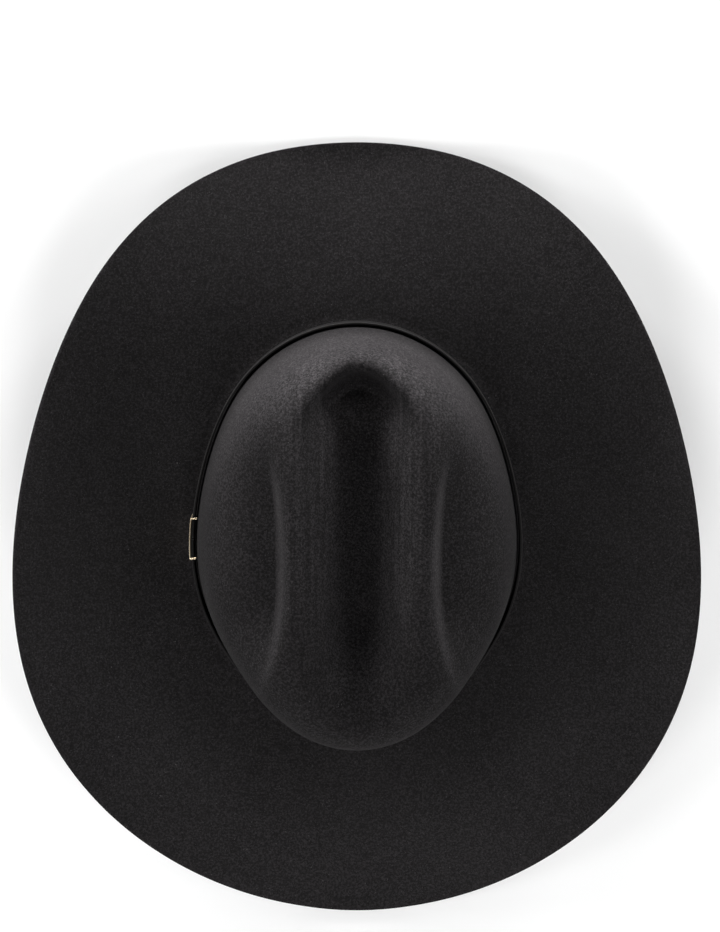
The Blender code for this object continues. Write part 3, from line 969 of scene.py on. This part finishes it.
def make_bow():
    """The small satin bow at the back: two loops, two tails and a knot."""
    clear = SWEATBAND_FACE + 2 * GAP + 2 * TAPE + 0.0006
    centre = wall_point(math.pi / 2, SWEATBAND_Z + 0.009, -clear) - Vector((0.0, 0.0009, 0.0))
    shape = bmesh.new()
    for side in (-1.0, 1.0):
        loop = []
        for turn in angles(count=49, closed=False):
            x = 0.0040 * (1.0 - math.cos(turn))
            loop.append((Vector((side * x, -0.0010 * math.sin(turn), 0.0)), 0.0011 + 0.022 * x ** 0.5))
        ribbon_strip(shape, loop, centre)
        tail = []
        for i in range(17):
            t = i / 16
            place = Vector((side * (0.0010 + 0.0040 * t), 0.0004 * math.sin(5.0 * t), -0.0010 - 0.0068 * t))
            tail.append((place, 0.0010 + 0.0012 * t))
        ribbon_strip(shape, tail, centre, across=Vector((1.0, 0.0, 0.5 * side)).normalized())
    bow = add_mesh("bow_loops", shape)
    thicken(bow, 0.00022, outward=True, round_edge=0.00005)
    paint = ribbon_paint("bow_ribbon", (0.014, 0.013, 0.013), (0.026, 0.025, 0.025), 0.0005)
    finish_piece(bow, paint, ["sweatband_bow"])
    knot = []
    for turn in angles(count=25, closed=False):
        width = 0.0011 * math.sin(turn / 2) ** 0.5 + 0.0002
        depth = 0.0012 * math.sin(turn / 2) ** 0.5 + 0.0002
        x = -0.0011 * math.cos(turn / 2)
        ring = [Vector((x, depth * math.cos(a), (width + 0.0006) * math.sin(a))) for a in angles(count=16)]
        knot.append([centre + point for point in ring])
    finish_piece(sweep("bow_knot", knot), paint)


def ribbon_strip(shape, path, centre, across=Vector((0.0, 0.0, 1.0))):
    """Add a strip of ribbon along a path of places and half widths, hollowed across its width."""
    rows = []
    for place, half in path:
        row = []
        for i in range(7):
            part = (i - 3) / 3
            hollow = Vector((0.0, 0.00025 * part * part, 0.0))
            row.append(shape.verts.new(centre + place + across * half * part + hollow))
        rows.append(row)
    for below, above in zip(rows, rows[1:]):
        for i in range(6):
            shape.faces.new((below[i], below[i + 1], above[i + 1], above[i]))


def make_tag():
    """The blank size tag, with rounded corners."""
    low, high, corner = SWEATBAND_Z + 0.010, SWEATBAND_Z + 0.022, 0.0015
    first, last = math.radians(61), math.radians(72)
    loops = []
    for phi in angles(first, last, 41, closed=False):
        from_end = min(phi - first, last - phi) * OVAL_A
        inside = max(corner - from_end, 0.0)
        cut = corner - math.sqrt(corner ** 2 - inside ** 2)
        section = rounded(-SWEATBAND_FACE - 2.2 * GAP, -SWEATBAND_FACE - GAP, low + cut, high - cut, 0.00012)
        loops.append([wall_point(phi, z, out) for out, z in section])
    finish_piece(sweep("tag_blank", loops), tag_paint(), ["size_tag"])


def gather(phi, z):
    """How far the lining's gathers stand in: none behind the sweatband, most near the piping."""
    fine = math.sin(74.0 * phi + 1.6 * math.sin(5.0 * phi))
    coarse = math.sin(31.0 * phi + 2.2 * math.sin(3.0 * phi + 0.7))
    return 0.0013 * smooth(z, 0.058, 0.078) * (0.5 + 0.3 * fine + 0.2 * coarse) ** 1.5


def make_lining():
    """Satin lining: a gathered side and a smooth tip, with twisted cord over their seam."""
    step = math.pi / 2 / CROWN_STEPS
    seam_lean = step * TIP_STEP
    seam = math.radians(0.4)
    paint = satin_paint()
    rows = []
    for lean in angles(2 * step, seam_lean - seam, 41, closed=False):
        row = []
        for phi in angles(count=900):
            row.append(lining_point(phi, lean, gather(phi, crown_point(phi, lean).z)))
        rows.append(row)
    side = loft("lining_gathered", rows)
    thicken(side, LINING, outward=False)
    finish_piece(side, paint, ["lining_side"])
    rows = []
    steps = 48
    for i in range(steps):
        lean = seam_lean + seam + (math.pi / 2 - seam_lean - seam) * i / steps
        pucker = 0.0004 * (1.0 - i / steps) ** 3
        rows.append([lining_point(phi, lean, pucker * (1.0 + math.sin(88.0 * phi))) for phi in angles()])
    middle = crown_point(0.0, math.pi / 2) - Vector((0.0, 0.0, LINING_IN + LINING_EASE))
    tip = loft("lining_crown", rows, apex=middle)
    thicken(tip, LINING, outward=False)
    finish_piece(tip, paint, ["lining_tip"])
    make_piping(seam_lean)


def make_piping(lean):
    """Two-strand cord over the lining's seam."""
    count, twists, strand = 1500, 150, 0.00042
    depth = LINING + GAP + PIPING_RADIUS
    centre = [lining_point(phi, lean, depth) for phi in angles(count=count)]
    runs = []
    for start in (0.0, math.pi):
        run = []
        for i, point in enumerate(centre):
            along = (centre[(i + 1) % count] - centre[i - 1]).normalized()
            side = along.cross(Vector((0.0, 0.0, 1.0))).normalized()
            up = side.cross(along)
            turn = start + 2.0 * math.pi * twists * i / count
            run.append(point + (side * math.cos(turn) + up * math.sin(turn)) * strand)
        runs.append(run)
    cord = tube("piping_twist", runs, 0.00040, sides=2)
    paint = thread_paint("piping_cord", (0.016, 0.015, 0.015), (0.035, 0.034, 0.033))
    finish_piece(cord, paint, ["lining_piping"])


make_camera()
make_studio()
make_felt()
make_band()
make_clip()
make_sweatband()
make_seam_tape(make_reed())
make_stitching()
make_bow()
make_tag()
make_lining()
